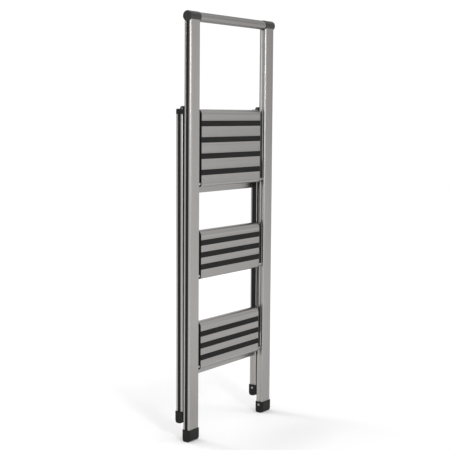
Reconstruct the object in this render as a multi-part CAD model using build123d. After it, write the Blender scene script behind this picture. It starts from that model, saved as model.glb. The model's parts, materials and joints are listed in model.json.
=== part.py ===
"""Three-tread folding step ladder with a handrail, folded flat and standing on its front feet.

X runs across the ladder, -Y is the side that the user climbs from, and Z is up from the floor.
The pieces are drawn with y = 0 on the front rails' front face. At the end everything moves
back by MID_DEPTH, so that the origin lies under the middle of the folded ladder.
"""
from build123d import *
import math
import os

# ---- overall ----
WIDTH = 422.4            # across the outer faces of the rails
HANDLE_Z = 1155.5        # axis of the handrail tube
FIT = 0.05               # running or push fit, on the radius

# ---- rail extrusion, the same for front rails and rear legs ----
RAIL_WIDTH = 44.0        # along X
RAIL_DEPTH = 22.2        # along Y
RAIL_WALL = 1.5
RAIL_CORNER = 3.6
GROOVE_WIDTH = 9.4       # groove down the middle of both narrow sides
OUTER_GROOVE = 2.0       # depth of the groove that holds the dark trim strip
INNER_GROOVE = 1.2       # depth of the open, hollow groove on the inner side
TRIM_THICKNESS = 1.6
RAIL_X = WIDTH / 2 - RAIL_WIDTH / 2
INNER_X = WIDTH / 2 - RAIL_WIDTH
RAIL_Y = RAIL_DEPTH / 2

# ---- feet ----
FOOT_HEIGHT = 33.0
FOOT_SHELL = 2.4         # how far a foot stands proud of its rail
REAR_FOOT_FRONT = 1.1    # the same on the front of a rear foot, which lies behind a front rail
FOOT_SOLE = 9.0
FOOT_ROUND = 9.5         # radius of the sole's front and back edges
FOOT_RIVET_Z = 24.0
REAR_FOOT_Z = 49.2       # underside of the rear feet when the ladder is folded
RIVET_RADIUS = 2.0
RIVET_HEAD = 3.5
RIVET_REACH = 5.0        # tail of a foot rivet, inside the rail's inner face
HEAD_HEIGHT = 1.2
HEAD_ROUND = 0.8         # rounded share of a head's height

# ---- handrail ----
TUBE_RADIUS = 13.0
TUBE_WALL = 1.5
COLLAR_RADIUS = 14.2
COLLAR_OUTBOARD = 2.6
COLLAR_INBOARD = 1.6
COLLAR_END_WALL = 2.2
COLLAR_RIM = 2.0         # rounding of the closed end
PLUG_LENGTH = 30.0
PLUG_GAP = 0.1           # plastic plugs inside the extrusions

# ---- rear frame and its hinge ----
REAR_FRONT_Y = 26.7      # rear legs' front face, drawn upright
REAR_LEG_TOP = 896.0
HINGE_Y = 28.5
HINGE_Z = 911.2
REAR_TILT = -0.2         # degrees: folded, the legs lean a little towards the rails
CAP_TOP = 910.6
CAP_PROUD = 0.5
CAP_ROUND = 3.0          # rounding of a cap's top back edge
KNUCKLE_RADIUS = 6.0
KNUCKLE_WEB = 8.0        # depth of the web between knuckle and cap
LUG_RADIUS = 6.4
LUG_WIDTH = 6.0
LUG_GAP = 0.3
LUG_ROOT = 4.0           # depth of a lug where it meets the rail
BRACKET_BOTTOM = 872.0
BRACKET_TAPER = 20.0     # height over which the plate thickens
BRACKET_THICK_TOP = 3.4
BRACKET_THICK_BOTTOM = 1.2
BRACKET_RIVETS = (880.0, 893.0)
BRACKET_RIVET_REACH = 4.0
PIN_RADIUS = 2.5
PIN_HEAD = 3.6
BAR_DEPTH = 10.0
BAR_HEIGHT = 20.0
BAR_CORNER = 3.0
BAR_WALL = 1.3
BAR_Y = 41.9
UPPER_BAR_Z = 689.5
LOWER_BAR_Z = 181.1
BAR_INSERT = 8.0         # how far a bar reaches into a leg
OPEN_REAR = 36.0         # degrees from folded to in use
OPEN_TREAD = 67.66

# ---- treads ----
TREAD_PIVOTS = {"top": 706.5, "middle": 453.1, "lower": 199.7}
TREAD_HEIGHT = {"top": 212.0, "middle": 134.4, "lower": 134.4}
STRIP_CENTRES = {"top": (31.0, 75.4, 119.8, 164.2), "middle": (24.6, 57.9, 91.2),
                 "lower": (24.6, 57.9, 91.2)}    # above the pivot
PIVOT_Y = 11.5
PIVOT_TO_EDGE = 9.2      # from the pivot down to the tread's lower edge
TREAD_FRONT = 6.0        # the treads' walking face, folded
TREAD_THICK = 18.5
TREAD_END = 152.0        # outer face of a tread's end caps
CAP_PLATE = 2.0
TREAD_SKIN = 1.9
NOSE_RADIUS = 7.5
TOP_RADIUS = 4.0
RIB = 1.5
LIP = 6.0
STRIP_WIDTH = 15.2
STRIP_RECESS = 0.9
STRIP_PROUD = 0.7
RIDGES = 6               # ridges of one grip strip
RIDGE_SHARE = 0.7        # width of a ridge over their pitch
PIVOT_RADIUS = 3.0
SPACER_RADIUS = 4.4
PIN_FLANGE = 2.0         # thickness of a pin's flange inside the rail
BLOCK_LENGTH = 11.0      # pivot block of an end cap, inside the tread
BLOCK_DEPTH = 14.0       # from the walking face
BLOCK_TOP = 12.0         # above the pivot
PIN_END_PLAY = 1.0

# ---- link bars ----
LINK_Y = 27.5
LINK_ABOVE = 48.0        # stud above the tread's pivot
LINK_WIDTH = 12.6
LINK_THICK = 3.0
LINK_GAP = 1.5
STUD_RADIUS = 2.8
STUD_HEAD = 4.6
STUD_BOSS = 5.6
OPEN_LINK_PLAY = 0.3     # the lower two studs turn in wider holes

# ---- platform saddles ----
SADDLE_X = 98.0
SADDLE_WIDTH = 26.0
SADDLE_PLAY = 0.4
SADDLE_BASE = 6.0        # thickness before the bar's bed is cut
SADDLE_REACH = 14.0      # from the bar's axis to the end of the hook
SADDLE_LIP = 5.0
SADDLE_HOOK = 14.0
SADDLE_EDGE = 2.0        # rounding of the hook's end
SCREW_RADIUS = 1.6
SCREW_LENGTH = 8.0
SCREW_HEIGHT = STRIP_CENTRES["top"][2]

MID_DEPTH = 23.14        # half way between the collars' front and the rear caps' back


def carry_x(profile, x_low, x_high):
    """Carry a profile drawn in (Y, Z) along X."""
    return extrude(Plane.YZ.offset(x_low) * profile, x_high - x_low)


def rod_x(radius, y, z, x_low, x_high):
    """Round bar along X."""
    return carry_x(Pos(y, z) * Circle(radius), x_low, x_high)


def span_z(profile, z_low, z_high):
    """Carry a profile drawn in (X, Y) along Z."""
    return extrude(Plane.XY.offset(z_low) * profile, z_high - z_low)


def on_left(piece):
    """The left hand copy of a piece drawn on the right."""
    return mirror(piece, about=Plane.YZ)


def both_sides(piece):
    """Right and left copies as one group."""
    return Compound(children=[*piece.solids(), *on_left(piece).solids()])


def rivet_x(radius, head_radius, y, z, x_tail, x_face, points_out):
    """Rivet along X: a shank from x_tail to x_face and a low domed head beyond the face."""
    turn = 1 if points_out else -1
    low, high = sorted((x_tail, x_face))
    head = rod_x(head_radius, y, z, *sorted((x_face, x_face + turn * HEAD_HEIGHT)))
    rim = head.edges().filter_by(GeomType.CIRCLE).sort_by(Axis.X)[-1 if points_out else 0]
    return rod_x(radius, y, z, low, high) + fillet(rim, HEAD_HEIGHT * HEAD_ROUND)


def rivet_y(radius, head_radius, x, z, y_tail, y_face):
    """Rivet along Y with its head on the back."""
    plane = Plane(origin=(x, y_tail, z), z_dir=(0, 1, 0))
    shank = extrude(plane * Circle(radius), y_face - y_tail)
    head = extrude(plane.offset(y_face - y_tail) * Circle(head_radius), HEAD_HEIGHT)
    rim = head.edges().filter_by(GeomType.CIRCLE).sort_by(Axis.Y)[-1]
    return shank + fillet(rim, HEAD_HEIGHT * HEAD_ROUND)


# ---------------------------------------------------------------- rails and legs
def outer_groove_box(depth, width):
    """Rectangle on the outer narrow side of the section."""
    return Pos(RAIL_WIDTH / 2 - depth / 2, 0) * Rectangle(depth, width)


def inner_groove():
    """Circle whose segment inside the section is the hollow groove of the inner narrow side."""
    radius = (GROOVE_WIDTH ** 2 / 4 + INNER_GROOVE ** 2) / (2 * INNER_GROOVE)
    return Pos(INNER_GROOVE - RAIL_WIDTH / 2 - radius, 0) * Circle(radius)


def rail_void():
    """Inside of the extrusion, with room for the walls behind both grooves."""
    void = RectangleRounded(RAIL_WIDTH - 2 * RAIL_WALL, RAIL_DEPTH - 2 * RAIL_WALL,
                            RAIL_CORNER - RAIL_WALL)
    walls = GROOVE_WIDTH + 2 * RAIL_WALL
    void -= outer_groove_box(OUTER_GROOVE + RAIL_WALL, walls)
    behind = INNER_GROOVE + RAIL_WALL
    return void - Pos((behind - RAIL_WIDTH) / 2, 0) * Rectangle(behind, walls)


def rail_outline():
    """Outside of the extrusion without its grooves."""
    return RectangleRounded(RAIL_WIDTH, RAIL_DEPTH, RAIL_CORNER)


def rail_section():
    """Hollow rounded rectangle with a groove down each narrow side."""
    grooved = rail_outline() - outer_groove_box(OUTER_GROOVE, GROOVE_WIDTH)
    return grooved - inner_groove() - rail_void()


def trim_strip(z_low, z_high):
    """Dark strip pressed into the outer groove of a right hand rail."""
    x = RAIL_WIDTH / 2 - OUTER_GROOVE + TRIM_THICKNESS / 2
    return span_z(Pos(x, 0) * Rectangle(TRIM_THICKNESS, GROOVE_WIDTH), z_low, z_high)


def front_rail():
    """Right front rail: its top is coped to sit under the handrail collar."""
    rail = Pos(RAIL_X, RAIL_Y, 0) * span_z(rail_section(), FOOT_SOLE, HANDLE_Z)
    rail -= rod_x(COLLAR_RADIUS + FIT, RAIL_Y, HANDLE_Z, INNER_X - 1, WIDTH / 2 + 1)
    rail -= foot_rivet_hole(RAIL_Y, 0)
    for pivot_z in TREAD_PIVOTS.values():
        rail -= rod_x(PIVOT_RADIUS + FIT, PIVOT_Y, pivot_z, INNER_X - 1, RAIL_X)
    for z in BRACKET_RIVETS:
        rail -= bracket_rivet(z, FIT)
    return rail


def front_trim():
    """Trim strip of the right front rail, up to the collar."""
    strip = Pos(RAIL_X, RAIL_Y, 0) * trim_strip(FOOT_SOLE, HANDLE_Z)
    return strip - rod_x(COLLAR_RADIUS + FIT, RAIL_Y, HANDLE_Z, INNER_X, WIDTH / 2 + 1)


# ---------------------------------------------------------------- feet
def foot(y_mid, z_low, front_shell=FOOT_SHELL):
    """Moulded shoe over the end of a right hand rail, its sole rounded from front to back."""
    wide = RAIL_WIDTH + 2 * FOOT_SHELL
    deep = RAIL_DEPTH + FOOT_SHELL + front_shell
    y = (FOOT_SHELL - front_shell) / 2
    shape = Pos(0, y) * RectangleRounded(wide, deep, RAIL_CORNER + front_shell)
    block = span_z(shape, 0, FOOT_HEIGHT)
    side = Pos(y, FOOT_HEIGHT) * Rectangle(deep, 2 * FOOT_HEIGHT)
    side = fillet(side.vertices().group_by(Axis.Y)[0], FOOT_ROUND)
    block &= carry_x(side, -wide, wide)
    pocket = offset(rail_outline(), FIT)
    block -= span_z(pocket, FOOT_SOLE, FOOT_HEIGHT + 1)
    shoe = Pos(RAIL_X, y_mid, z_low) * block
    return shoe - foot_rivet_hole(y_mid, z_low)


def foot_rivet_hole(y_mid, z_low):
    """Hole for the rivet that holds a foot, through the inner walls only."""
    low, high = INNER_X - FOOT_SHELL - 1, INNER_X + RIVET_REACH + 1
    return rod_x(RIVET_RADIUS + FIT, y_mid, z_low + FOOT_RIVET_Z, low, high)


def foot_rivet(y_mid, z_low):
    """Light rivet on the inner side of a foot."""
    tail, face = INNER_X + RIVET_REACH, INNER_X - FOOT_SHELL
    return rivet_x(RIVET_RADIUS, RIVET_HEAD, y_mid, z_low + FOOT_RIVET_Z, tail, face, False)


# ---------------------------------------------------------------- handrail
def handle_tube():
    """Straight round tube across both rails."""
    half = WIDTH / 2 + COLLAR_OUTBOARD - COLLAR_END_WALL - FIT
    tube = rod_x(TUBE_RADIUS, RAIL_Y, HANDLE_Z, -half, half)
    return tube - rod_x(TUBE_RADIUS - TUBE_WALL, RAIL_Y, HANDLE_Z, -half - 1, half + 1)


def handle_cap():
    """Collar closed at its outer end, with a plug down into the rail."""
    outer = WIDTH / 2 + COLLAR_OUTBOARD
    cap = rod_x(COLLAR_RADIUS, RAIL_Y, HANDLE_Z, INNER_X - COLLAR_INBOARD, outer)
    rim = cap.edges().filter_by(GeomType.CIRCLE).sort_by(Axis.X)[-1]
    cap = fillet(rim, COLLAR_RIM)
    plug = offset(rail_void(), -PLUG_GAP)
    plug_top = HANDLE_Z - TUBE_RADIUS
    cap += Pos(RAIL_X, RAIL_Y, 0) * span_z(plug, plug_top - PLUG_LENGTH, plug_top)
    bore = rod_x(TUBE_RADIUS + FIT, RAIL_Y, HANDLE_Z, 0, outer - COLLAR_END_WALL)
    return cap - bore


# ---------------------------------------------------------------- hinge
def bracket_rivet(z, grow=0.0):
    """Rivet through the bracket plate into the rail's back wall, its head sunk in the plate."""
    plane = Plane(origin=(RAIL_X, RAIL_DEPTH - BRACKET_RIVET_REACH, z), z_dir=(0, 1, 0))
    length = BRACKET_RIVET_REACH + BRACKET_THICK_BOTTOM + grow
    return extrude(plane * Circle(RIVET_RADIUS + grow), length)


def hinge_bracket():
    """Plate on the back of the rail, thinner towards its bottom, with two lugs for the pin."""
    back = RAIL_DEPTH
    taper = Polyline((back, BRACKET_BOTTOM), (back + BRACKET_THICK_BOTTOM, BRACKET_BOTTOM),
                     (back + BRACKET_THICK_TOP, BRACKET_BOTTOM + BRACKET_TAPER),
                     (back + BRACKET_THICK_TOP, HINGE_Z), (back, HINGE_Z), close=True)
    plate = make_face(taper)
    lug = plate + Pos(HINGE_Y, HINGE_Z) * Circle(LUG_RADIUS)
    root = Pos(back + LUG_ROOT / 2, HINGE_Z + LUG_RADIUS / 2) * Rectangle(LUG_ROOT, LUG_RADIUS)
    lug += root
    lug &= Pos(back + WIDTH / 2, HINGE_Z) * Rectangle(WIDTH, WIDTH)
    low_plate = plate & Pos(back, BRACKET_BOTTOM) * Rectangle(WIDTH, 2 * (REAR_LEG_TOP - BRACKET_BOTTOM))
    outer = WIDTH / 2
    bracket = carry_x(low_plate, INNER_X, outer)
    bracket += carry_x(lug, INNER_X, INNER_X + LUG_WIDTH)
    bracket += carry_x(lug, outer - LUG_WIDTH, outer)
    bracket -= rod_x(PIN_RADIUS + FIT, HINGE_Y, HINGE_Z, INNER_X - 1, outer + 1)
    for z in BRACKET_RIVETS:
        bracket -= bracket_rivet(z, FIT)
    return bracket


def hinge_cap():
    """Cap of a rear leg: a block on the leg's end and the knuckle round the pin."""
    wide = RAIL_WIDTH + 2 * CAP_PROUD
    deep = RAIL_DEPTH + 2 * CAP_PROUD
    mid_y = REAR_FRONT_Y + RAIL_Y
    shape = RectangleRounded(wide, deep, RAIL_CORNER)
    cap = Pos(RAIL_X, mid_y, 0) * span_z(shape, REAR_LEG_TOP, CAP_TOP)
    cap = fillet(cap.faces().sort_by(Axis.Z)[-1].edges().sort_by(Axis.Y)[-1], CAP_ROUND)
    middle = RAIL_WIDTH - 2 * LUG_WIDTH - 2 * LUG_GAP
    low, high = RAIL_X - middle / 2, RAIL_X + middle / 2
    cut = rod_x(LUG_RADIUS + LUG_GAP, HINGE_Y, HINGE_Z, 0, WIDTH)
    cap -= cut - carry_x(Pos(HINGE_Y, HINGE_Z) * Rectangle(RAIL_WIDTH, RAIL_WIDTH), low, high)
    knuckle = Pos(HINGE_Y, HINGE_Z) * Circle(KNUCKLE_RADIUS)
    web = Rectangle(KNUCKLE_WEB, 2 * (HINGE_Z - CAP_TOP) + KNUCKLE_WEB)
    knuckle += Pos(HINGE_Y + KNUCKLE_WEB / 2, CAP_TOP - KNUCKLE_WEB / 2) * web
    cap += carry_x(knuckle, low, high)
    return cap - rod_x(PIN_RADIUS + FIT, HINGE_Y, HINGE_Z, 0, WIDTH)


def leg_plug():
    """Plug inside the top of a rear leg, which the hinge cap is fixed to."""
    plug = offset(rail_void(), -PLUG_GAP)
    return Pos(RAIL_X, REAR_MID_Y, 0) * span_z(plug, REAR_LEG_TOP - PLUG_LENGTH, REAR_LEG_TOP)


def hinge_pin():
    """Pin through lugs and knuckle, headed at both ends."""
    outer = rivet_x(PIN_RADIUS, PIN_HEAD, HINGE_Y, HINGE_Z, RAIL_X, WIDTH / 2, True)
    return outer + rivet_x(PIN_RADIUS, PIN_HEAD, HINGE_Y, HINGE_Z, RAIL_X, INNER_X, False)


# ---------------------------------------------------------------- rear frame, drawn upright
REAR_MID_Y = REAR_FRONT_Y + RAIL_Y
REAR_BACK_Y = REAR_FRONT_Y + RAIL_DEPTH


def bar_outline(shrink=0.0):
    """Outline of a rear cross bar in (Y, Z)."""
    return RectangleRounded(BAR_DEPTH - 2 * shrink, BAR_HEIGHT - 2 * shrink, BAR_CORNER - shrink)


def bar_rivet(z, grow=0.0):
    """Rivet from the back of a leg into the end of a cross bar."""
    x = INNER_X + BAR_INSERT / 2
    tail = BAR_Y + BAR_DEPTH / 2 - 2 * BAR_WALL
    return rivet_y(RIVET_RADIUS + grow, RIVET_HEAD, x, z, tail, REAR_BACK_Y)


def rear_leg():
    """Right rear leg, with slots in its inner wall for the cross bars."""
    leg = Pos(RAIL_X, REAR_MID_Y, 0) * span_z(rail_section(), REAR_FOOT_Z + FOOT_SOLE, REAR_LEG_TOP)
    leg -= foot_rivet_hole(REAR_MID_Y, REAR_FOOT_Z)
    for z in (UPPER_BAR_Z, LOWER_BAR_Z):
        leg -= carry_x(Pos(BAR_Y, z) * bar_outline(-FIT), INNER_X - 1, INNER_X + BAR_INSERT)
        leg -= bar_rivet(z, FIT)
    return leg


def rear_trim():
    """Trim strip of the right rear leg."""
    return Pos(RAIL_X, REAR_MID_Y, 0) * trim_strip(REAR_FOOT_Z + FOOT_SOLE, REAR_LEG_TOP)


def rear_bar(z):
    """Hollow cross bar between the rear legs."""
    reach = INNER_X + BAR_INSERT - FIT
    bar = carry_x(Pos(BAR_Y, z) * (bar_outline() - bar_outline(BAR_WALL)), -reach, reach)
    hole = bar_rivet(z, FIT)
    return bar - hole - on_left(hole)


# ---------------------------------------------------------------- treads
def tread_outline(name, shrink=0.0):
    """Outline of a tread in (Y, Z), relative to its pivot: rounded nose below, softer top."""
    height = TREAD_HEIGHT[name] - 2 * shrink
    thick = TREAD_THICK - shrink
    y_mid = TREAD_FRONT - PIVOT_Y + shrink + thick / 2
    z_mid = -PIVOT_TO_EDGE + shrink + height / 2
    shape = Pos(y_mid, z_mid) * Rectangle(thick, height)
    front = shape.vertices().group_by(Axis.X)[0].sort_by(Axis.Y)
    shape = fillet(front[0], NOSE_RADIUS - shrink)
    top = shape.vertices().group_by(Axis.Y)[-1].sort_by(Axis.X)[0]
    return fillet(top, TOP_RADIUS - shrink)


def strip_recess(name, centre):
    """Shallow channel in the walking face for one grip strip."""
    y = TREAD_FRONT - PIVOT_Y + STRIP_RECESS / 2
    return Pos(y, centre) * Rectangle(STRIP_RECESS, STRIP_WIDTH)


def tread_board(name):
    """Channel extrusion, open behind, with a rib under each strip and a lip on each edge."""
    section = tread_outline(name) - tread_outline(name, TREAD_SKIN)
    back = TREAD_FRONT - PIVOT_Y + TREAD_THICK
    top = TREAD_HEIGHT[name] - PIVOT_TO_EDGE
    for edge, side in ((-PIVOT_TO_EDGE, 1), (top, -1)):
        section += Pos(back - RIB / 2, edge + side * LIP / 2) * Rectangle(RIB, LIP)
    for centre in STRIP_CENTRES[name]:
        front = TREAD_FRONT - PIVOT_Y + TREAD_SKIN / 2
        section += Pos((front + back) / 2, centre) * Rectangle(back - front, RIB)
        section += Pos(back - RIB / 2, centre) * Rectangle(RIB, LIP)
        section -= strip_recess(name, centre)
    half = TREAD_END - CAP_PLATE
    return carry_x(section, -half, half)


def grip_strips(name):
    """Ribbed dark strips that fill the channels of the walking face."""
    strips = []
    front = TREAD_FRONT - PIVOT_Y
    half = TREAD_END - CAP_PLATE
    for centre in STRIP_CENTRES[name]:
        face = strip_recess(name, centre)
        for k in range(RIDGES):
            z = centre + (k - (RIDGES - 1) / 2) * STRIP_WIDTH / RIDGES
            ridge = Rectangle(STRIP_PROUD, STRIP_WIDTH / RIDGES * RIDGE_SHARE)
            face += Pos(front - STRIP_PROUD / 2, z) * ridge
        face += Pos(front - STRIP_PROUD / 4, centre) * Rectangle(STRIP_PROUD / 2, STRIP_WIDTH)
        strips.append(carry_x(face, -half, half))
    return Compound(children=[solid for strip in strips for solid in strip.solids()])


def tread_cap(name):
    """Right end cap: a plate with the tread's outline, a pivot block inside and a link boss."""
    plate = tread_outline(name)
    boss = Pos(LINK_Y - PIVOT_Y, LINK_ABOVE) * Circle(STUD_BOSS)
    cap = carry_x(plate + boss, TREAD_END - CAP_PLATE, TREAD_END)
    inside = tread_outline(name, TREAD_SKIN + PLUG_GAP)
    low, high = -PIVOT_TO_EDGE, BLOCK_TOP
    middle = Pos(TREAD_FRONT - PIVOT_Y + BLOCK_DEPTH / 2, (low + high) / 2)
    room = middle * Rectangle(BLOCK_DEPTH, high - low)
    cap += carry_x(inside & room, TREAD_END - CAP_PLATE - BLOCK_LENGTH, TREAD_END - CAP_PLATE)
    cap -= rod_x(PIVOT_RADIUS + FIT, 0, 0, TREAD_END - BLOCK_LENGTH, TREAD_END + 1)
    stud = rod_x(STUD_RADIUS + FIT, LINK_Y - PIVOT_Y, LINK_ABOVE, 0, TREAD_END + 1)
    return cap - stud


def link_stud():
    """Headed stud on which a link bar turns, from the end cap's inner face outwards."""
    head_face = TREAD_END + LINK_GAP + LINK_THICK + LUG_GAP
    return rivet_x(STUD_RADIUS, STUD_HEAD, LINK_Y - PIVOT_Y, LINK_ABOVE,
                   TREAD_END - CAP_PLATE, head_face, True)


def pivot_pin(pivot_z):
    """Pin from inside the rail through the spacer into the tread's end cap."""
    seat = INNER_X + INNER_GROOVE + RAIL_WALL
    pin = rod_x(PIVOT_RADIUS, PIVOT_Y, pivot_z, TREAD_END - BLOCK_LENGTH + PIN_END_PLAY, seat)
    return pin + rod_x(SPACER_RADIUS, PIVOT_Y, pivot_z, seat, seat + PIN_FLANGE)


def pivot_spacer(pivot_z):
    """Spacer between the end cap and the rail, its end rounded to lie in the rail's groove."""
    low, high = TREAD_END + LUG_GAP, INNER_X + INNER_GROOVE
    in_groove = rod_x(SPACER_RADIUS, PIVOT_Y, pivot_z, INNER_X, high)
    in_groove &= Pos(RAIL_X, RAIL_Y, 0) * span_z(inner_groove(), 0, HANDLE_Z)
    spacer = rod_x(SPACER_RADIUS, PIVOT_Y, pivot_z, low, INNER_X) + in_groove
    return spacer - rod_x(PIVOT_RADIUS + FIT, PIVOT_Y, pivot_z, low - 1, high + 1)


# ---------------------------------------------------------------- link bars
def link_bar():
    """Flat bar that ties the three treads together, with rounded ends."""
    low = TREAD_PIVOTS["lower"] + LINK_ABOVE
    high = TREAD_PIVOTS["top"] + LINK_ABOVE
    shape = Pos(LINK_Y, (low + high) / 2) * Rectangle(LINK_WIDTH, high - low)
    for z in (low, high):
        shape += Pos(LINK_Y, z) * Circle(LINK_WIDTH / 2)
    for name, pivot_z in TREAD_PIVOTS.items():
        play = FIT if name == "top" else OPEN_LINK_PLAY
        shape -= Pos(LINK_Y, pivot_z + LINK_ABOVE) * Circle(STUD_RADIUS + play)
    x = TREAD_END + LINK_GAP
    return carry_x(shape, x, x + LINK_THICK)


# ---------------------------------------------------------------- platform saddles
def turned(y, z, degrees):
    """Turn a (y, z) offset so that what points up swings to the back."""
    c, s = math.cos(math.radians(degrees)), math.sin(math.radians(degrees))
    return y * c + z * s, z * c - y * s


def bar_in_use():
    """Centre of the upper bar in use, from the platform's pivot, in the folded platform's axes."""
    y, z = turned(BAR_Y - HINGE_Y, UPPER_BAR_Z - HINGE_Z, -(OPEN_REAR + REAR_TILT))
    y += HINGE_Y - PIVOT_Y
    z += HINGE_Z - TREAD_PIVOTS["top"]
    return turned(y, z, -OPEN_TREAD)


def saddle_screw(x, grow=0.0):
    """Screw through a saddle into a rib of the platform."""
    under = TREAD_FRONT + TREAD_THICK
    plane = Plane(origin=(x, under - SCREW_LENGTH, TREAD_PIVOTS["top"] + SCREW_HEIGHT), z_dir=(0, 1, 0))
    return extrude(plane * Circle(SCREW_RADIUS + grow), SCREW_LENGTH + SADDLE_BASE)


def screw_places():
    """X of the right hand saddle's two screws."""
    return SADDLE_X - SADDLE_WIDTH / 4, SADDLE_X + SADDLE_WIDTH / 4


def saddle():
    """Hooked rest under the platform that sits on the upper bar in use."""
    depth, height = bar_in_use()
    under = TREAD_FRONT - PIVOT_Y + TREAD_THICK
    end = height + SADDLE_REACH
    length = end - SCREW_HEIGHT + 2 * LIP
    shape = Pos(under + SADDLE_BASE / 2, end - length / 2) * Rectangle(SADDLE_BASE, length)
    hook = Pos(under + SADDLE_HOOK / 2, end - SADDLE_LIP / 2) * Rectangle(SADDLE_HOOK, SADDLE_LIP)
    shape += fillet(hook.vertices().group_by(Axis.X)[-1], SADDLE_EDGE)
    lean = OPEN_REAR + REAR_TILT + OPEN_TREAD
    shape -= Pos(depth, height) * (Rot(0, 0, lean) * bar_outline(-SADDLE_PLAY))
    rest = carry_x(shape, SADDLE_X - SADDLE_WIDTH / 2, SADDLE_X + SADDLE_WIDTH / 2)
    rest = Pos(0, PIVOT_Y, TREAD_PIVOTS["top"]) * rest
    for x in screw_places():
        rest -= saddle_screw(x, FIT)
    return rest


# ---------------------------------------------------------------- assembly
def front_frame_nodes():
    """Front rails, handrail, front feet, hinge brackets and tread pins."""
    yield from paired("front_rail", front_rail())
    yield from paired("front_rail_trim", front_trim())
    yield "handle_tube", handle_tube()
    yield from paired("handle_cap", handle_cap())
    yield from paired("front_foot", foot(RAIL_Y, 0))
    yield "front_foot_rivets", both_sides(foot_rivet(RAIL_Y, 0))
    yield from paired("hinge_bracket", hinge_bracket())
    rivets = [bracket_rivet(z) for z in BRACKET_RIVETS]
    yield "bracket_rivets", grouped(rivets + [on_left(rivet) for rivet in rivets])
    yield "hinge_pins", both_sides(hinge_pin())
    for name, pivot_z in TREAD_PIVOTS.items():
        yield f"{name}_tread_pins", both_sides(pivot_pin(pivot_z))
    spacers = [pivot_spacer(pivot_z) for pivot_z in TREAD_PIVOTS.values()]
    yield "pivot_spacers", grouped(spacers + [on_left(spacer) for spacer in spacers])


def tread_nodes(name):
    """Board, strips, end caps and link studs of one tread."""
    at = Pos(0, PIVOT_Y, TREAD_PIVOTS[name])
    board = at * tread_board(name)
    if name == "top":
        for x in screw_places():
            hole = saddle_screw(x, FIT)
            board = board - hole - on_left(hole)
    yield f"{name}_tread_board", board
    yield f"{name}_tread_grip_strips", at * grip_strips(name)
    for node, piece in paired(f"{name}_tread_end_cap", at * tread_cap(name)):
        yield node, piece
    yield f"{name}_tread_link_studs", both_sides(at * link_stud())


def rear_frame_nodes():
    """Rear legs, trims, cross bars, feet and hinge caps, leaned to the folded position."""
    yield from paired("rear_leg", rear_leg())
    yield from paired("rear_leg_trim", rear_trim())
    yield "upper_rear_bar", rear_bar(UPPER_BAR_Z)
    yield "lower_rear_bar", rear_bar(LOWER_BAR_Z)
    rivets = [bar_rivet(z) for z in (UPPER_BAR_Z, LOWER_BAR_Z)]
    yield "rear_bar_rivets", grouped(rivets + [on_left(rivet) for rivet in rivets])
    yield from paired("rear_foot", foot(REAR_MID_Y, REAR_FOOT_Z, REAR_FOOT_FRONT))
    yield "rear_foot_rivets", both_sides(foot_rivet(REAR_MID_Y, REAR_FOOT_Z))
    yield from paired("hinge_cap", hinge_cap())
    yield from paired("leg_plug", leg_plug())


def paired(name, piece):
    """A right hand piece and its mirror image, as left_NAME and right_NAME."""
    yield f"left_{name}", on_left(piece)
    yield f"right_{name}", piece


def grouped(pieces):
    """Separate solids that share one node."""
    return Compound(children=[solid for piece in pieces for solid in piece.solids()])


def build():
    """Every node of the ladder, by name, with the origin under the folded ladder's middle."""
    nodes = dict(front_frame_nodes())
    for name in TREAD_PIVOTS:
        nodes.update(tread_nodes(name))
    nodes.update(paired("link_bar", link_bar()))
    nodes.update(paired("platform_saddle", saddle()))
    screws = [saddle_screw(x) for x in screw_places()]
    nodes["saddle_screws"] = grouped(screws + [on_left(screw) for screw in screws])
    hinge = Pos(0, HINGE_Y, HINGE_Z)
    lean = hinge * Rot(REAR_TILT, 0, 0) * hinge.inverse()
    for name, piece in rear_frame_nodes():
        nodes[name] = lean * piece
    return {name: Pos(0, -MID_DEPTH, 0) * piece for name, piece in nodes.items()}


os.makedirs("parts", exist_ok=True)
parts = build()
for node, shape in parts.items():
    export_step(shape, f"parts/{node}.step")
boxes = [shape.bounding_box() for shape in parts.values()]
for axis in "XYZ":
    low = min(getattr(box.min, axis) for box in boxes)
    high = max(getattr(box.max, axis) for box in boxes)
    print(axis, round(low, 3), round(high, 3))
print(len(parts), "nodes; bar in use at", bar_in_use())
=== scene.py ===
# %% [markdown]
# # A folding step ladder, dressed in Blender
#
# The ladder's design is already fixed: its rails, treads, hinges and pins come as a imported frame
# of solids. What is left for this lesson is the look. We wrap new skins round the pieces that
# the eye rests on, such as the drawn aluminium rails and the treads, and we give every piece a
# finish that is worked out by nodes. Nothing here moves or resizes the design.

# %% Load the frame
import json
import math

import bpy
import bmesh
import numpy as np
from mathutils import Matrix, Vector


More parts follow.
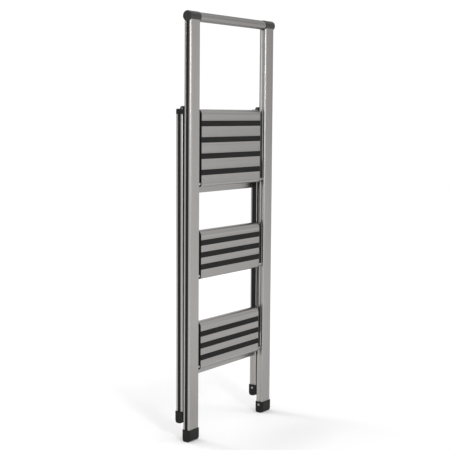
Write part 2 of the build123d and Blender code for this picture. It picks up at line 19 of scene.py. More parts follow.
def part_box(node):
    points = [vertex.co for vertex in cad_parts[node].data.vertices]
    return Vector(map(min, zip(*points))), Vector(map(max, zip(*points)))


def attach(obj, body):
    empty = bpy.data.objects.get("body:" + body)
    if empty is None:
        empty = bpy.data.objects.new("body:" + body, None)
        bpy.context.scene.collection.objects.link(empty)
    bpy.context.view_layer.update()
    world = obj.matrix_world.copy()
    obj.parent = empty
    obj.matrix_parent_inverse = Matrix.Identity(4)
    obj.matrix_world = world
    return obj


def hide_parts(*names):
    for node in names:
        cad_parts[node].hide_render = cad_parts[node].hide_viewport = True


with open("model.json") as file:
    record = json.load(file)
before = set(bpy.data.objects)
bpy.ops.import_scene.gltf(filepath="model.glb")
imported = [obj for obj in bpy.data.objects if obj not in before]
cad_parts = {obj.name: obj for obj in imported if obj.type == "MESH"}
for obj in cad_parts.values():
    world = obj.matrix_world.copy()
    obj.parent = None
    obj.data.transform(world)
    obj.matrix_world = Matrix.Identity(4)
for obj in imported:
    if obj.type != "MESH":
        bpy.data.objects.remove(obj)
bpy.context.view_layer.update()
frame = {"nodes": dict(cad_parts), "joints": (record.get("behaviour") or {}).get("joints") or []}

# %% [markdown]
# The places of things are read from the frame. Only the small details of a section, such as the
# depth of a groove, are named here, because a bounding box can't tell them.

# %% Places and section sizes, in metres
MM = 0.001
TOUCH_GAP = 0.02 * MM             # between skins that nearly touch
CLEAR = 0.1 * MM                  # round a rail in its shoe, and at both ends of a leg
JOINTS = {joint["name"]: Vector(joint["pos_m"]) for joint in frame["joints"]}
HINGE = JOINTS["rear_frame_fold"]
PIVOTS = {name.split("_")[0]: place for name, place in JOINTS.items()
          if name.endswith("tread_fold")}
RAIL_LOW, RAIL_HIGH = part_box("right_front_rail")
RAIL_WIDTH, RAIL_DEPTH = RAIL_HIGH.x - RAIL_LOW.x, RAIL_HIGH.y - RAIL_LOW.y
RAIL_X, RAIL_Y = (RAIL_HIGH.x + RAIL_LOW.x) / 2, (RAIL_HIGH.y + RAIL_LOW.y) / 2
RAIL_CORNER = 3.6 * MM
REAR_LEAN = math.radians(-0.2)
HINGE_DEPTH = 1.8 * MM            # from a leg's front face back to the hinge line
LEG_Y = HINGE.y - HINGE_DEPTH + RAIL_DEPTH / 2
REAR_FOOT_Z = 49.2 * MM
print("rail", round(RAIL_WIDTH / MM, 1), "x", round(RAIL_DEPTH / MM, 1), "mm at x =",
      round(RAIL_X, 4))

# %% [markdown]
# ## Camera
#
# The ladder is seen from its left front with a long lens, a little above the middle, so that
# its upright lines stay nearly parallel. The camera looks slightly down and leans by under half
# a degree.

# %% Camera
LOOK = math.radians(56.42)        # from straight ahead, turned towards the ladder's right
DOWN = math.radians(5.64)
ROLL = math.radians(0.40)
CAMERA_AT = Vector((-2.6792, -1.7739, 0.8987))
LENS = 90.46


def camera_axes(look, down, roll):
    """Right, up and backward axes of a camera turned by look, tipped by down and rolled."""
    level = Vector((math.sin(look), math.cos(look), 0.0))
    forward = level * math.cos(down) - Vector((0.0, 0.0, math.sin(down)))
    right = Vector((level.y, -level.x, 0.0))
    up = right.cross(forward)
    tilted_right = right * math.cos(roll) + up * math.sin(roll)
    tilted_up = up * math.cos(roll) - right * math.sin(roll)
    return tilted_right, tilted_up, -forward


camera = bpy.data.objects.new("camera", bpy.data.cameras.new("camera"))
camera.data.lens = LENS
camera.data.sensor_width = 36.0
camera.data.clip_end = 50.0
turn = Matrix(camera_axes(LOOK, DOWN, ROLL)).transposed()
camera.matrix_world = Matrix.Translation(CAMERA_AT) @ turn.to_4x4()
bpy.context.scene.collection.objects.link(camera)
bpy.context.scene.camera = camera
print("camera", round(CAMERA_AT.length, 2), "m from the ladder's foot")

# %% [markdown]
# ## Mesh tools
#
# Nearly every piece of a ladder is a section carried along a line, or a profile turned about an
# axis. Both are grids of points: one direction runs along the piece, the other round it. Three
# small tools make them. The first rounds the corners of an outline and adds a point beside each
# bend, so that flat faces shade flat.

# %% Outlines with rounded corners
BESIDE = 0.2 * MM


def outline(corners, steps=6):
    """Closed outline through corners (u, v, radius), anticlockwise, as an (n, 2) array.

    A corner of radius r becomes an arc between the two points at r / tan(half its angle) from
    it, with one more point a little further out on each side. Radius 0 stays a sharp corner.
    """
    points = np.array([c[:2] for c in corners], float)
    befores, afters = np.roll(points, 1, 0), np.roll(points, -1, 0)
    share = np.linspace(0, 1, steps + 1)[:, None]
    loops = []
    for here, before, after, (_, _, radius) in zip(points, befores, afters, corners):
        if radius == 0:
            loops.append(here[None])
            continue
        back, ahead = before - here, after - here
        back, ahead = back / np.linalg.norm(back), ahead / np.linalg.norm(ahead)
        half = math.acos(np.clip(back @ ahead, -1, 1)) / 2
        reach = radius / math.tan(half)
        middle = (back + ahead) / np.linalg.norm(back + ahead) * radius / math.sin(half)
        start, end = back * reach - middle, ahead * reach - middle
        angle = math.pi - 2 * half
        arc = start * np.sin((1 - share) * angle) + end * np.sin(share * angle)
        out = reach + min(BESIDE, radius)
        loops.append(np.vstack([here + back * out, here + middle + arc / math.sin(angle),
                                here + ahead * out]))
    return np.vstack(loops)


def inset(loop, distance):
    """Outline moved inwards by distance, along the normal between each point's neighbours."""
    along = np.roll(loop, -1, 0) - np.roll(loop, 1, 0)
    along /= np.linalg.norm(along, axis=1, keepdims=True)
    return loop + distance * np.stack([-along[:, 1], along[:, 0]], axis=1)


def box_outline(width, depth, radius):
    """Rounded rectangle about the origin."""
    u, v = width / 2, depth / 2
    return outline([(-u, -v, radius), (u, -v, radius), (u, v, radius), (-u, v, radius)])


# %% From a grid of points to a closed skin
SHARP = math.radians(38)


def skin(name, grid):
    """Mesh object over a (rows, columns, 3) grid: each row is a loop, and rows follow each other.

    Four neighbours make a face. The first and last rows are closed by one face each. If the
    signed volume comes out negative, the grid ran the wrong way round and its faces are turned.
    """
    rows, columns, _ = grid.shape
    index = np.arange(rows * columns).reshape(rows, columns)
    beside = np.roll(index, -1, 1)
    quads = np.stack([index[:-1], beside[:-1], beside[1:], index[1:]], axis=-1).reshape(-1, 4)
    faces = quads.tolist() + [index[0, ::-1].tolist(), index[-1].tolist()]
    mesh = bpy.data.meshes.new(name)
    mesh.from_pydata(grid.reshape(-1, 3).tolist(), [], faces)
    work = bmesh.new()
    work.from_mesh(mesh)
    if work.calc_volume(signed=True) < 0:
        bmesh.ops.reverse_faces(work, faces=work.faces[:])
    work.to_mesh(mesh)
    work.free()
    mesh.shade_smooth()
    mesh.set_sharp_from_angle(angle=SHARP)
    piece = bpy.data.objects.new(name, mesh)
    bpy.context.scene.collection.objects.link(piece)
    return piece


# %% Grids along an axis and about one
ROUND_COLUMNS = 96
PLATE_EDGE = 0.35 * MM
SIGN = {"left": -1.0, "right": 1.0}


def along_x(loops, places):
    """Grid from loops in (Y, Z), one at each x of places."""
    return np.stack([np.column_stack([np.full(len(loop), x), loop])
                     for loop, x in zip(loops, places)])


def along_z(loops, places):
    """Grid from loops in (X, Y), one at each z of places; a place may differ round the loop."""
    return np.stack([np.column_stack([loop, np.broadcast_to(z, len(loop))])
                     for loop, z in zip(loops, places)])


def turned_x(profile, y, z):
    """Grid from a profile of (x, radius) points turned about the X line through (y, z)."""
    angle = np.linspace(0, 2 * math.pi, ROUND_COLUMNS, endpoint=False)
    ring = np.stack([np.cos(angle), np.sin(angle)], axis=1)
    loops = [np.array([y, z]) + radius * ring for _, radius in profile]
    return along_x(loops, [x for x, _ in profile])


def plate_x(name, loop, low, high):
    """Plate with a (Y, Z) outline, from low to high along X, with quarter round rims."""
    angle = np.linspace(0, math.pi / 2, 5)
    rise, pull = PLATE_EDGE * (1 - np.cos(angle)), PLATE_EDGE * (1 - np.sin(angle))
    places = np.concatenate([low + rise, high - rise[::-1]])
    pulls = np.concatenate([pull, pull[::-1]])
    return skin(name, along_x([inset(loop, pull) for pull in pulls], places))


def on_side(side, grid):
    """A grid made for the right, or its mirror image for the left."""
    return grid * np.array([SIGN[side], 1.0, 1.0])


def leaned(grid):
    """Grid of a rear frame piece, turned about the hinge line by the folded frame's small lean."""
    c, s = math.cos(REAR_LEAN), math.sin(REAR_LEAN)
    out = grid.copy()
    y, z = grid[..., 1] - HINGE.y, grid[..., 2] - HINGE.z
    out[..., 1] = HINGE.y + y * c - z * s
    out[..., 2] = HINGE.z + y * s + z * c
    return out


print("rounds have", ROUND_COLUMNS, "columns")

# %% [markdown]
# ## Finishes
#
# Each finish is a small node graph on Object coordinates, in metres, so that a pattern keeps its
# real size on every piece. The aluminium is drawn through a die and then anodised: fine lines run
# the way it was drawn, and the film over them is satin. The plastics have a moulded grain.

# %% Node helpers
def new_finish(name):
    """Material with its tree and its main shader."""
    material = bpy.data.materials.new(name)
    material.use_nodes = True
    tree = material.node_tree
    return material, tree, tree.nodes["Principled BSDF"]


def pattern(tree, scale, detail, roughness=0.55):
    """Noise on Object coordinates, stretched by a scale for each axis, in marks per metre."""
    place = tree.nodes.new("ShaderNodeTexCoord")
    stretch = tree.nodes.new("ShaderNodeMapping")
    stretch.inputs["Scale"].default_value = scale
    noise = tree.nodes.new("ShaderNodeTexNoise")
    noise.inputs["Scale"].default_value = 1.0
    noise.inputs["Detail"].default_value = detail
    noise.inputs["Roughness"].default_value = roughness
    tree.links.new(place.outputs["Object"], stretch.inputs["Vector"])
    tree.links.new(stretch.outputs["Vector"], noise.inputs["Vector"])
    return noise.outputs["Fac"]


def between(tree, value, low, high, spread=(0.3, 0.7)):
    """A value within the spread, remapped to the range from low to high."""
    remap = tree.nodes.new("ShaderNodeMapRange")
    remap.inputs["From Min"].default_value = spread[0]
    remap.inputs["From Max"].default_value = spread[1]
    remap.inputs["To Min"].default_value = low
    remap.inputs["To Max"].default_value = high
    tree.links.new(value, remap.inputs["Value"])
    return remap.outputs["Result"]


def tinted(tree, value, dark, light):
    """Colour mixed from dark to light by a value from 0 to 1."""
    mix = tree.nodes.new("ShaderNodeMix")
    mix.data_type = "RGBA"
    mix.inputs["A"].default_value = (*dark, 1.0)
    mix.inputs["B"].default_value = (*light, 1.0)
    tree.links.new(value, mix.inputs["Factor"])
    return mix.outputs["Result"]


def relief(tree, shader, height, distance, strength):
    """Bump that lifts the surface by distance where the height is 1."""
    bump = tree.nodes.new("ShaderNodeBump")
    bump.inputs["Strength"].default_value = strength
    bump.inputs["Distance"].default_value = distance
    tree.links.new(height, bump.inputs["Height"])
    tree.links.new(bump.outputs["Normal"], shader.inputs["Normal"])


# %% Metals
def drawn_aluminium(name, axis, light, dark, gloss=0.28, edge=0.35):
    """Satin aluminium with fine lines along one axis (0 for X, 2 for Z) and faint, broad streaks.

    The edge tint is how much is still reflected where the surface turns away from the eye.
    """
    material, tree, shader = new_finish(name)
    fine, broad = [900.0] * 3, [110.0] * 3
    fine[axis], broad[axis] = 1.5, 1.2
    lines = pattern(tree, fine, 1.0)
    streaks = pattern(tree, broad, 3.0)
    colour = tinted(tree, between(tree, streaks, 0.0, 1.0), dark, light)
    rough = between(tree, streaks, gloss - 0.01, gloss + 0.015)
    tree.links.new(colour, shader.inputs["Base Color"])
    tree.links.new(rough, shader.inputs["Roughness"])
    shader.inputs["Metallic"].default_value = 1.0
    shader.inputs["Specular Tint"].default_value = (edge, edge, edge, 1.0)
    relief(tree, shader, lines, 0.004 * MM, 0.06)
    return material


def plated_steel(name, dark, light):
    """Steel of rivets, pins and spacers: fine turning marks between two tones, and a soft shine."""
    material, tree, shader = new_finish(name)
    marks = pattern(tree, [900.0] * 3, 3.0)
    colour = tinted(tree, between(tree, marks, 0.0, 1.0), dark, light)
    tree.links.new(colour, shader.inputs["Base Color"])
    tree.links.new(between(tree, marks, 0.22, 0.36), shader.inputs["Roughness"])
    shader.inputs["Metallic"].default_value = 1.0
    relief(tree, shader, marks, 0.02 * MM, 0.5)
    return material


# %% Plastics and rubber
def moulded_plastic(name, colour, gloss, shine, grain=0.05 * MM):
    """Black moulded plastic: an even fine grain, and a gloss that varies with it."""
    material, tree, shader = new_finish(name)
    texture = pattern(tree, [1400.0] * 3, 2.0)
    cloud = pattern(tree, [35.0] * 3, 3.0)
    darker = [0.75 * c for c in colour]
    shade = tinted(tree, between(tree, cloud, 0.0, 1.0), darker, colour)
    tree.links.new(shade, shader.inputs["Base Color"])
    tree.links.new(between(tree, texture, gloss - 0.06, gloss + 0.08), shader.inputs["Roughness"])
    shader.inputs["Specular IOR Level"].default_value = shine
    relief(tree, shader, texture, grain, 0.6)
    return material


def ribbed_rubber(name, colour):
    """Grip strip rubber: matt, with a coarser grain than the plastic."""
    material, tree, shader = new_finish(name)
    texture = pattern(tree, [700.0] * 3, 4.0, 0.65)
    wear = pattern(tree, (22.0, 90.0, 90.0), 4.0)
    lighter = [1.5 * c for c in colour]
    shade = tinted(tree, between(tree, wear, 0.0, 1.0), colour, lighter)
    tree.links.new(shade, shader.inputs["Base Color"])
    tree.links.new(between(tree, texture, 0.62, 0.85), shader.inputs["Roughness"])
    shader.inputs["Specular IOR Level"].default_value = 0.15
    relief(tree, shader, texture, 0.12 * MM, 0.7)
    return material


# %% The ladder's finishes
ALUMINIUM_Z = drawn_aluminium("rail_aluminium", 2, (0.362, 0.352, 0.341), (0.340, 0.330, 0.320))
ALUMINIUM_X = drawn_aluminium("tread_aluminium", 0, (0.342, 0.333, 0.323), (0.320, 0.312, 0.302),
                              edge=0.65)
# The handrail is the rails' aluminium in a darker colour: painted shade for the dim light its round
# face reflects.
TUBE_SHADED_ALUMINIUM = drawn_aluminium("tube_aluminium_painted_shade", 0, (0.29, 0.281, 0.272), (0.262, 0.254, 0.246),
                              gloss=0.3, edge=0.5)
BLACK = moulded_plastic("black_plastic", (0.007, 0.007, 0.007), 0.48, 0.2)
COLLAR_PLASTIC = moulded_plastic("collar_plastic", (0.015, 0.0147, 0.0144), 0.36, 0.32, 0.02 * MM)
TRIM = moulded_plastic("trim_plastic", (0.0045, 0.0045, 0.0046), 0.55, 0.2)
FOOT = moulded_plastic("foot_plastic", (0.0095, 0.0093, 0.009), 0.58, 0.18, 0.08 * MM)
LINK = moulded_plastic("link_paint", (0.0035, 0.0035, 0.0036), 0.5, 0.2, 0.02 * MM)
GRIP = ribbed_rubber("grip_rubber", (0.0065, 0.0065, 0.0063))
STEEL = plated_steel("bright_steel", (0.42, 0.41, 0.39), (0.62, 0.61, 0.59))
RIVET = plated_steel("rivet_metal", (0.26, 0.255, 0.245), (0.4, 0.39, 0.38))
PIN = plated_steel("dark_steel", (0.10, 0.098, 0.094), (0.15, 0.147, 0.142))
print("finishes:", len(bpy.data.materials))

# %% [markdown]
# A finished piece is dressed in one call: its finish, the body that it rides on, and the solids it
# stands for.

# %% Dressing a piece
def dress(piece, finish, body, slot, *nodes):
    """Give a new piece its finish, body and the frame nodes that it replaces; the slot is not used.
    """
    piece.data.materials.append(finish)
    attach(piece, body)
    if nodes:
        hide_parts(*nodes)


# %% [markdown]
# ## Rails and legs
#
# Front rails and rear legs share one extrusion: a flat, round-cornered tube with a groove down
# each narrow side. The outer groove is square and holds a dark strip. The inner one is a shallow
# hollow. We draw the section once, anticlockwise, and carry it up each rail. The front rails end
# under the round handrail collar, so their last row follows a circle.

# %% The rail section
GROOVE = 9.4 * MM
GROOVE_DEPTH = 2.0 * MM
GROOVE_LIP = 0.5 * MM
HOLLOW_DEPTH = 2.4 * MM
HOLLOW_ROUND = 9.0 * MM
TUBE_LOW, TUBE_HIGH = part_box("handle_tube")
TUBE_Z = (TUBE_HIGH.z + TUBE_LOW.z) / 2
COLLAR_LOW, COLLAR_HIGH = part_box("right_handle_cap")
COLLAR = (COLLAR_HIGH.y - COLLAR_LOW.y) / 2


def rail_outline():
    """Section of a right hand rail about its own centre: outer groove at +u, inner at -u."""
    u, v, g = RAIL_WIDTH / 2, RAIL_DEPTH / 2, GROOVE / 2
    floor = u - GROOVE_DEPTH
    return outline([
        (-u, -v, RAIL_CORNER), (u, -v, RAIL_CORNER),
        (u, -g, GROOVE_LIP), (floor, -g, 0.2 * MM), (floor, g, 0.2 * MM), (u, g, GROOVE_LIP),
        (u, v, RAIL_CORNER), (-u, v, RAIL_CORNER),
        (-u, g, GROOVE_LIP), (HOLLOW_DEPTH - u, 0, HOLLOW_ROUND), (-u, -g, GROOVE_LIP)], steps=7)


def under_collar(y):
    """Height of the collar's underside, less a small gap, above each y."""
    return TUBE_Z - np.sqrt(np.maximum(COLLAR ** 2 - (y - RAIL_Y) ** 2, 0)) - TOUCH_GAP


def upright(side, which, node, section):
    """Section carried up a front rail to its cope, or up a rear leg and leaned with its frame."""
    low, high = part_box(node)
    loop = section + np.array([RAIL_X, RAIL_Y if which == "front" else LEG_Y])
    if which == "front":
        return on_side(side, along_z([loop, loop], [low.z, under_collar(loop[:, 1])]))
    return on_side(side, leaned(along_z([loop, loop], [low.z + CLEAR, high.z - CLEAR])))


UPRIGHTS = [(side, which, f"{side}_{which}_{part}") for side in SIGN
            for which, part in (("front", "rail"), ("rear", "leg"))]
for side, which, node in UPRIGHTS:
    rail = skin(f"{node}_skin", upright(side, which, node, rail_outline()))
    dress(rail, ALUMINIUM_Z, f"{which}_frame", "rail", node)
print("rail section has", len(rail_outline()), "points")

# %% [markdown]
# The dark strip in the outer groove is a separate extrusion pushed in from the end. Its face
# lies a little below the rail's lips and is slightly crowned, so it catches a thin light line.

# %% Trim strips
TRIM_GAP = 0.05 * MM
TRIM_SUNK = 0.45 * MM
TRIM_CROWN = 0.25 * MM
TRIM_ROUND = 6.0 * MM


def trim_outline():
    """Section of the dark strip, at the bottom of the outer groove."""
    face, half = RAIL_WIDTH / 2 - TRIM_SUNK, GROOVE / 2 - TRIM_GAP
    back, side = RAIL_WIDTH / 2 - GROOVE_DEPTH + TOUCH_GAP, face - TRIM_CROWN
    return outline([(back, -half, 0), (side, -half, 0.2 * MM), (face, -half / 2, TRIM_ROUND),
                    (face, half / 2, TRIM_ROUND), (side, half, 0.2 * MM), (back, half, 0)], 4)


for side, which, node in UPRIGHTS:
    strip = skin(f"{node}_trim_skin", upright(side, which, f"{node}_trim", trim_outline()))
    dress(strip, TRIM, f"{which}_frame", "trim", f"{node}_trim")
print("trim strips:", len(UPRIGHTS))

# %% [markdown]
# ## Handrail
#
# A round tube runs straight through both collars. The collars are closed at their outer ends,
# with a rounded rim and a slightly domed face, so they are profiles turned about the tube's axis.

# %% Tube and collars
TUBE_RADIUS = (TUBE_HIGH.z - TUBE_LOW.z) / 2
COLLAR_MOUTH_EDGE = 0.5 * MM
COLLAR_RIM = 1.2 * MM
COLLAR_DOME = 0.35 * MM


def quarter(x, radius, edge, direction):
    """Profile points of a quarter round rim of size edge that ends at x."""
    return [(x + direction * edge * (1 - math.sin(a)), radius - edge * (1 - math.cos(a)))
            for a in np.linspace(0, math.pi / 2, 6)]


def collar_profile():
    """Profile from inside the mouth to the closed end, domed by the square of the radius."""
    mouth, shoulder = COLLAR_LOW.x, COLLAR_HIGH.x - COLLAR_DOME
    bore, face = TUBE_RADIUS + 0.05 * MM, COLLAR - COLLAR_RIM
    profile = [(mouth + 2 * MM, bore), (mouth + 0.1 * MM, bore), (mouth, bore + 0.1 * MM)]
    profile += quarter(mouth, COLLAR, COLLAR_MOUTH_EDGE, 1)[::-1]
    profile += [(mouth + COLLAR_MOUTH_EDGE + BESIDE, COLLAR),
                (shoulder - COLLAR_RIM - BESIDE, COLLAR)]
    profile += quarter(shoulder, COLLAR, COLLAR_RIM, -1)
    return profile + [(COLLAR_HIGH.x - COLLAR_DOME * share ** 2, share * face)
                      for share in np.linspace(0.95, 0.05, 8)]


tube_profile = [(x, TUBE_RADIUS) for x in (TUBE_LOW.x, 0.0, TUBE_HIGH.x)]
tube = skin("handrail_tube", turned_x(tube_profile, RAIL_Y, TUBE_Z))
dress(tube, TUBE_SHADED_ALUMINIUM, "front_frame", "tube", "handle_tube")
for side in SIGN:
    collar = skin(f"{side}_collar", on_side(side, turned_x(collar_profile(), RAIL_Y, TUBE_Z)))
    dress(collar, COLLAR_PLASTIC, "front_frame", "black_plastic", f"{side}_handle_cap")
print("handrail radius", round(TUBE_RADIUS / MM, 2), "mm, collar", round(COLLAR / MM, 2), "mm")

# %% [markdown]
# ## Feet
#
# A foot is a moulded shoe over the end of a rail. Seen from the side its sole is rounded to the
# front and to the back, so that the ladder stands well when its rails lean. The shoe is a stack of
# rounded rectangles: near the sole their depth shrinks along a quarter circle. The rim at the top
# is rounded and then runs down inside, against the rail.

# %% Feet
SOLE_ROUND = 9.5 * MM
SOLE_PINCH = 0.8 * MM             # how far the sides draw in at the very sole
PINCH_HEIGHT = 3.0 * MM
SHELL = 2.4 * MM
REAR_FRONT_SHELL = 1.1 * MM       # a rear shoe is thinner where it meets the front rail
SOLE_CORNER = 1.2 * MM
SHOE_RIM = 0.5 * MM
RIM_BAND = 2.5 * MM
MOUTH_DEPTH = 1.2 * MM


def foot_grid(height, front_shell):
    """Shoe about its rail's middle, sole at z = 0, carried up by a quarter circle of inset."""
    width, depth = RAIL_WIDTH + 2 * SHELL, RAIL_DEPTH + SHELL + front_shell
    shift = np.array([0, (SHELL - front_shell) / 2])
    corner = RAIL_CORNER + front_shell
    angle = np.linspace(0, math.pi / 2, 9)
    loops, places = [], []
    for z, less in zip(SOLE_ROUND * (1 - np.cos(angle)), SOLE_ROUND * (1 - np.sin(angle))):
        pinch = SOLE_PINCH * (1 - min(z / PINCH_HEIGHT, 1)) ** 2
        rounding = max(corner - less, SOLE_CORNER)
        loops.append(box_outline(width - 2 * pinch, depth - 2 * less, rounding) + shift)
        places.append(z)
    full = box_outline(width, depth, corner) + shift
    for z in (SOLE_ROUND + BESIDE, height - RIM_BAND, height - SHOE_RIM - BESIDE):
        loops.append(full)
        places.append(z)
    for a in angle[::2]:
        loops.append(inset(full, SHOE_RIM * (1 - math.cos(a))))
        places.append(height - SHOE_RIM + SHOE_RIM * math.sin(a))
    mouth = box_outline(RAIL_WIDTH + CLEAR, RAIL_DEPTH + CLEAR, RAIL_CORNER)
    return along_z(loops + [mouth, mouth], places + [height, height - MOUTH_DEPTH])


def foot(side, which):
    """Shoe of a front rail or, leaned with its frame, of a rear leg."""
    low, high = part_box("right_front_foot")
    if which == "front":
        return on_side(side, foot_grid(high.z - low.z, SHELL) + np.array([RAIL_X, RAIL_Y, 0]))
    grid = foot_grid(high.z - low.z, REAR_FRONT_SHELL) + np.array([RAIL_X, LEG_Y, REAR_FOOT_Z])
    return on_side(side, leaned(grid))


for side, which, _ in UPRIGHTS:
    node = f"{side}_{which}_foot"
    dress(skin(f"{node}_shoe", foot(side, which)), FOOT, f"{which}_frame", "foot", node)
print("feet:", len(UPRIGHTS))

# %% [markdown]
# ## Treads
#
# A tread is an extrusion that is open behind. Its walking face has a rounded nose, a broader
# round at the top edge and shallow channels for the grip strips. Between the strips run fine grip
# lines. Behind each strip stands a rib with a small foot, and both edges turn back and end in a
# lip. All of that is one closed outline, carried along X.

# %% The tread's measures
STRIPS = {"top": (31.0, 75.4, 119.8, 164.2), "middle": (24.6, 57.9, 91.2),
          "lower": (24.6, 57.9, 91.2)}
STRIP_WIDTH = 15.2 * MM
SKIN = 1.9 * MM
RECESS = 0.9 * MM
RECESS_EDGE = 0.25 * MM
RIB = 1.5 * MM
RIB_ROOT = 0.6 * MM
RIB_FOOT = 0.4 * MM
LIP = 6.0 * MM
LIP_EDGE = 0.5 * MM
NOSE_ROUND = 7.5 * MM
TOP_ROUND = 14.0 * MM
INNER_ROUND = TOP_ROUND - 1.3 * SKIN
LINE_PITCH = 2.6 * MM
LINE_DEPTH = 0.12 * MM
LINE_HALF = 0.3 * MM
LINE_MARGIN = 1.5 * MM
EDGE_MARGIN = 1.0 * MM            # from a rounded edge to the flat part of the face


# %% The tread section
def grip_lines(front, low, high):
    """Walking face between two heights, drawn downwards, with V lines at an even pitch."""
    low, high = low + LINE_MARGIN, high - LINE_MARGIN
    count = max(int((high - low) / LINE_PITCH) - 1, 1)
    return [(front + depth, z + rise, 0) for z in np.linspace(high, low, count + 2)[1:-1]
            for depth, rise in ((0, LINE_HALF), (LINE_DEPTH, 0), (0, -LINE_HALF))]


def channel(front, low, high):
    """Channel of a grip strip, drawn downwards."""
    floor = front + RECESS
    return [(front, high, RECESS_EDGE), (floor, high, 0), (floor, low, 0),
            (front, low, RECESS_EDGE)]


def rib(inner, back, z):
    """Rib with its foot, drawn upwards from the inner face and back to it: halves are mirrored."""
    web = back - RIB
    below = [(inner, z - RIB / 2, RIB_ROOT), (web, z - RIB / 2, RIB_ROOT),
             (web, z - LIP / 2, RIB_FOOT), (back, z - LIP / 2, RIB_FOOT)]
    return below + [(y, 2 * z - height, radius) for y, height, radius in below[::-1]]


def tread_loop(name, front, back, low, high):
    """Outline of the extrusion in (Y, Z), anticlockwise seen from the right.

    It runs up the inside from the lower lip, round each rib, down the walking face, and back
    along the nose.
    """
    centres = [PIVOTS[name].z + height * MM for height in STRIPS[name]]
    inner, web, half = front + SKIN, back - RIB, STRIP_WIDTH / 2
    loop = [(back, low, LIP_EDGE), (back, low + LIP, LIP_EDGE), (web, low + LIP, LIP_EDGE),
            (web, low + SKIN, 1 * MM), (inner, low + SKIN, 3 * MM)]
    for z in centres:
        loop += rib(inner, back, z)
    loop += [(inner, high - SKIN, INNER_ROUND), (web, high - SKIN, 1 * MM),
             (web, high - LIP, LIP_EDGE), (back, high - LIP, LIP_EDGE), (back, high, LIP_EDGE)]
    loop += [(front, high, TOP_ROUND)]
    upper = high - TOP_ROUND - EDGE_MARGIN
    for z in centres[::-1]:
        loop += grip_lines(front, z + half, upper) + channel(front, z - half, z + half)
        upper = z - half
    loop += grip_lines(front, low + NOSE_ROUND + EDGE_MARGIN, upper) + [(front, low, NOSE_ROUND)]
    return outline(loop)


def tread_box(name):
    """Front, back, low, high and end of a tread's extrusion."""
    low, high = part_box(f"{name}_tread_board")
    return low.y, high.y, low.z, high.z, high.x


for name in PIVOTS:
    *sides, end = tread_box(name)
    loop = tread_loop(name, *sides)
    board = skin(f"{name}_tread_extrusion", along_x([loop, loop], [-end, end]))
    dress(board, ALUMINIUM_X, f"{name}_tread", "tread", f"{name}_tread_board")
    print(name, "tread section has", len(loop), "points")

# %% [markdown]
# The grip strips are soft black extrusions with rounded ridges, pressed into the channels.

# %% Grip strips
RIDGES = 6
RIDGE_POINTS = 10
STRIP_PROUD = 0.7 * MM
STRIP_GAP = 0.05 * MM


def strip_loop(front, centre):
    """Strip section: flat in its channel, with a row of raised cosine ridges on its face."""
    half = STRIP_WIDTH / 2 - STRIP_GAP
    share = np.linspace(1, 0, RIDGES * RIDGE_POINTS + 1)
    wave = 0.5 - 0.5 * np.cos(share * RIDGES * 2 * math.pi)
    face = front - STRIP_PROUD * (0.25 + 0.72 * np.sqrt(wave))
    ridge = np.column_stack([face, centre - half + 2 * half * share])
    floor = front + RECESS - TOUCH_GAP
    return np.vstack([[floor, centre - half], [floor, centre + half], ridge])


for name in PIVOTS:
    front, _, _, _, end = tread_box(name)
    for number, height in enumerate(STRIPS[name], 1):
        loop = strip_loop(front, PIVOTS[name].z + height * MM)
        strip = skin(f"{name}_tread_strip_{number}", along_x([loop, loop], [-end, end]))
        dress(strip, GRIP, f"{name}_tread", "grip")
    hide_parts(f"{name}_tread_grip_strips")

# %% [markdown]
# End caps close the extrusions. Each is a plate with the tread's outline, and a round boss at the
# back for the link stud.

# %% End caps
CAP_PLATE = 2.0 * MM
CAP_CORNER = 0.8 * MM
STUD_BOSS = 5.6 * MM
TINY = 0.001 * MM


def cap_loop(name):
    """Outline of an end cap: the tread's outline with the stud's boss bulging at the back."""
    front, back, low, high, _ = tread_box(name)
    stud_low, stud_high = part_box(f"{name}_tread_link_studs")
    y, z = (stud_low.y + stud_high.y) / 2, (stud_low.z + stud_high.z) / 2
    turn = math.acos((back - y) / STUD_BOSS)
    angle = np.linspace(-turn, turn, 15)
    boss = np.column_stack([y + STUD_BOSS * np.cos(angle), z + STUD_BOSS * np.sin(angle)])
    whole = outline([(front, low, NOSE_ROUND), (back, low, CAP_CORNER), (back, high, CAP_CORNER),
                     (front, high, TOP_ROUND)], 8)
    at_back, above = whole[:, 0] > back - TINY, whole[:, 1] > (low + high) / 2
    split = int(np.argmax(at_back & above))
    return np.vstack([whole[:split], boss, whole[split:]])


for name in PIVOTS:
    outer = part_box(f"right_{name}_tread_end_cap")[1].x
    for side, sign in SIGN.items():
        near, far = sorted((sign * (outer - CAP_PLATE), sign * outer))
        cap = plate_x(f"{side}_{name}_end_cap", cap_loop(name), near, far)
        dress(cap, BLACK, f"{name}_tread", "black_plastic", f"{side}_{name}_tread_end_cap")
print("end caps:", len(PIVOTS) * len(SIGN))

# %% [markdown]
# ## Link bars and cross bars
#
# The link bars are flat steel, rounded at both ends and painted black. The cross bars of the rear
# frame are small rounded tubes.

# %% Link bars
def link_loop(low, high):
    """Outline in (Y, Z) of a bar with half round ends."""
    y, reach = (low.y + high.y) / 2, (high.y - low.y) / 2
    angle = np.linspace(0, math.pi, 17)
    arc = reach * np.column_stack([np.cos(angle), np.sin(angle)])
    return np.vstack([(y, high.z - reach) + arc, (y, low.z + reach) - arc])


for side in SIGN:
    low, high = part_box(f"{side}_link_bar")
    bar = plate_x(f"{side}_link", link_loop(low, high), low.x, high.x)
    dress(bar, LINK, f"{side}_link", "link", f"{side}_link_bar")
print("link bars:", round((high.z - low.z) / MM), "mm long")

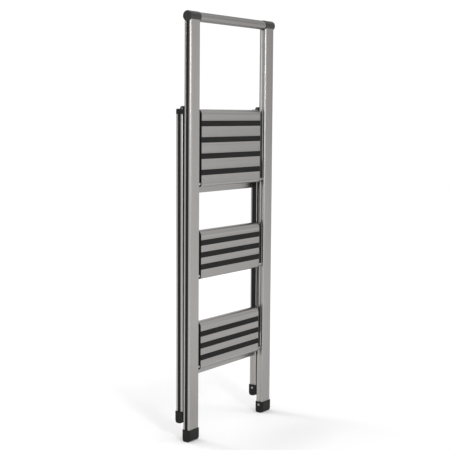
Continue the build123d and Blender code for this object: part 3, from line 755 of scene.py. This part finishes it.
# %% Cross bars
BAR_DEPTH, BAR_HEIGHT, BAR_CORNER = 10 * MM, 20 * MM, 3 * MM
for node in ("upper_rear_bar", "lower_rear_bar"):
    low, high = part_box(node)
    middle = np.array([(low.y + high.y) / 2, (low.z + high.z) / 2])
    loop = box_outline(BAR_DEPTH, BAR_HEIGHT, BAR_CORNER) + middle
    bar = skin(f"{node}_tube", along_x([loop, loop], [low.x, high.x]))
    dress(bar, ALUMINIUM_X, "rear_frame", "rail", node)
print("cross bars:", round((high.x - low.x) / MM), "mm long")

# %% [markdown]
# ## Fittings kept as designed
#
# Rivets, pins, brackets and hinge caps already have their true shapes, so they keep their solids
# and only get a finish.

# %% Finishes of the kept solids
KEPT = {
    BLACK: ["left_hinge_bracket", "right_hinge_bracket", "left_hinge_cap", "right_hinge_cap",
            "left_leg_plug", "right_leg_plug", "left_platform_saddle", "right_platform_saddle"],
    RIVET: ["front_foot_rivets", "rear_foot_rivets", "bracket_rivets", "rear_bar_rivets",
            "saddle_screws"],
    STEEL: ["pivot_spacers"] + [f"{name}_tread_pins" for name in PIVOTS],
    PIN: ["hinge_pins"] + [f"{name}_tread_link_studs" for name in PIVOTS],
}
for finish, nodes in KEPT.items():
    for node in nodes:
        mesh = frame["nodes"][node].data
        mesh.materials.clear()
        mesh.materials.append(finish)
print("kept solids:", sum(len(nodes) for nodes in KEPT.values()))

# %% [markdown]
# ## Light and floor
#
# The ladder stands in an even, pale studio. A pale floor, with painted shade that darkens it round
# the ladder, and a bright surrounding give the metal something light to reflect. A narrow strip of
# light at the left front draws the bright line down the rails' rounded corners, and broad, weak
# panels fill in the rest.

# %% Floor
FLOOR_REACH = 12.0


def floor_with_painted_shade():
    """Pale matt floor with painted shade: darker round the ladder and lighter outwards with the
    distance.
    """
    material, tree, shader = new_finish("pale_floor_painted_shade")
    place = tree.nodes.new("ShaderNodeTexCoord")
    distance = tree.nodes.new("ShaderNodeVectorMath")
    distance.operation = "LENGTH"
    tree.links.new(place.outputs["Object"], distance.inputs[0])
    # Painted shade: the floor's colour is darker near the ladder and lighter farther out.
    far = between(tree, distance.outputs["Value"], 0.0, 1.0, (0.5, 3.0))
    shaded_floor_tone = tinted(tree, far, (0.77, 0.77, 0.77), (0.95, 0.95, 0.95))
    tree.links.new(shaded_floor_tone, shader.inputs["Base Color"])
    shader.inputs["Roughness"].default_value = 0.9
    return material


floor_mesh = bpy.data.meshes.new("floor")
floor_mesh.from_pydata([(x * FLOOR_REACH, y * FLOOR_REACH, 0)
                        for x, y in ((-1, -1), (1, -1), (1, 1), (-1, 1))], [], [(0, 1, 2, 3)])
floor = bpy.data.objects.new("floor", floor_mesh)
bpy.context.scene.collection.objects.link(floor)
floor.data.materials.append(floor_with_painted_shade())
print("floor", 2 * FLOOR_REACH, "m wide")

# %% The room
BACKDROP = (0.833, 0.553, 0.0)    # direction from the camera to the backdrop
WALLS, CEILING, BACKDROP_LIGHT = 0.75, 1.12, 1.04


def room_light(tree):
    """Brightness by direction: walls at eye level, a ceiling overhead and a white backdrop."""
    place = tree.nodes.new("ShaderNodeTexCoord")
    split = tree.nodes.new("ShaderNodeSeparateXYZ")
    tree.links.new(place.outputs["Generated"], split.inputs["Vector"])
    height = between(tree, split.outputs["Z"], WALLS, CEILING, (0.2, 0.6))
    facing = tree.nodes.new("ShaderNodeVectorMath")
    facing.operation = "DOT_PRODUCT"
    facing.inputs[1].default_value = BACKDROP
    tree.links.new(place.outputs["Generated"], facing.inputs[0])
    behind = between(tree, facing.outputs["Value"], 0.0, 1.0, (0.80, 0.92))
    mix = tree.nodes.new("ShaderNodeMix")
    tree.links.new(behind, mix.inputs["Factor"])
    tree.links.new(height, mix.inputs["A"])
    mix.inputs["B"].default_value = BACKDROP_LIGHT
    background = tree.nodes["Background"]
    background.inputs["Color"].default_value = (1.0, 1.0, 1.0, 1.0)
    tree.links.new(mix.outputs["Result"], background.inputs["Strength"])


world = bpy.data.worlds.new("studio")
world.use_nodes = True
room_light(world.node_tree)
bpy.context.scene.world = world
bpy.context.scene.view_settings.view_transform = "Standard"
print("room:", len(world.node_tree.nodes), "nodes")

# %% Lamps
LAMP_DISTANCE = 2.6


def soft_panel(name, turn, height, width, tall, power, aim=0.6):
    """Area lamp at a turn in degrees from +X, facing a height on the ladder's middle line."""
    lamp = bpy.data.lights.new(name, "AREA")
    lamp.shape = "RECTANGLE"
    lamp.size, lamp.size_y = width, tall
    lamp.energy = power
    angle = math.radians(turn)
    place = Vector((LAMP_DISTANCE * math.cos(angle), LAMP_DISTANCE * math.sin(angle), height))
    facing = (Vector((0, 0, aim)) - place).to_track_quat("-Z", "Y").to_matrix().to_4x4()
    holder = bpy.data.objects.new(name, lamp)
    holder.matrix_world = Matrix.Translation(place) @ facing
    holder.visible_camera = False
    bpy.context.scene.collection.objects.link(holder)


soft_panel("side_panel", -175, 1.0, 0.9, 0.7, 5)
soft_panel("corner_strip", -127, 1.45, 0.30, 0.9, 24, aim=1.0)
soft_panel("front_panel", -60, 0.9, 0.9, 1.0, 8)
soft_panel("back_panel", 90, 2.8, 0.9, 1.2, 30)
soft_panel("low_side_panel", -150, 1.0, 0.9, 0.7, 4)
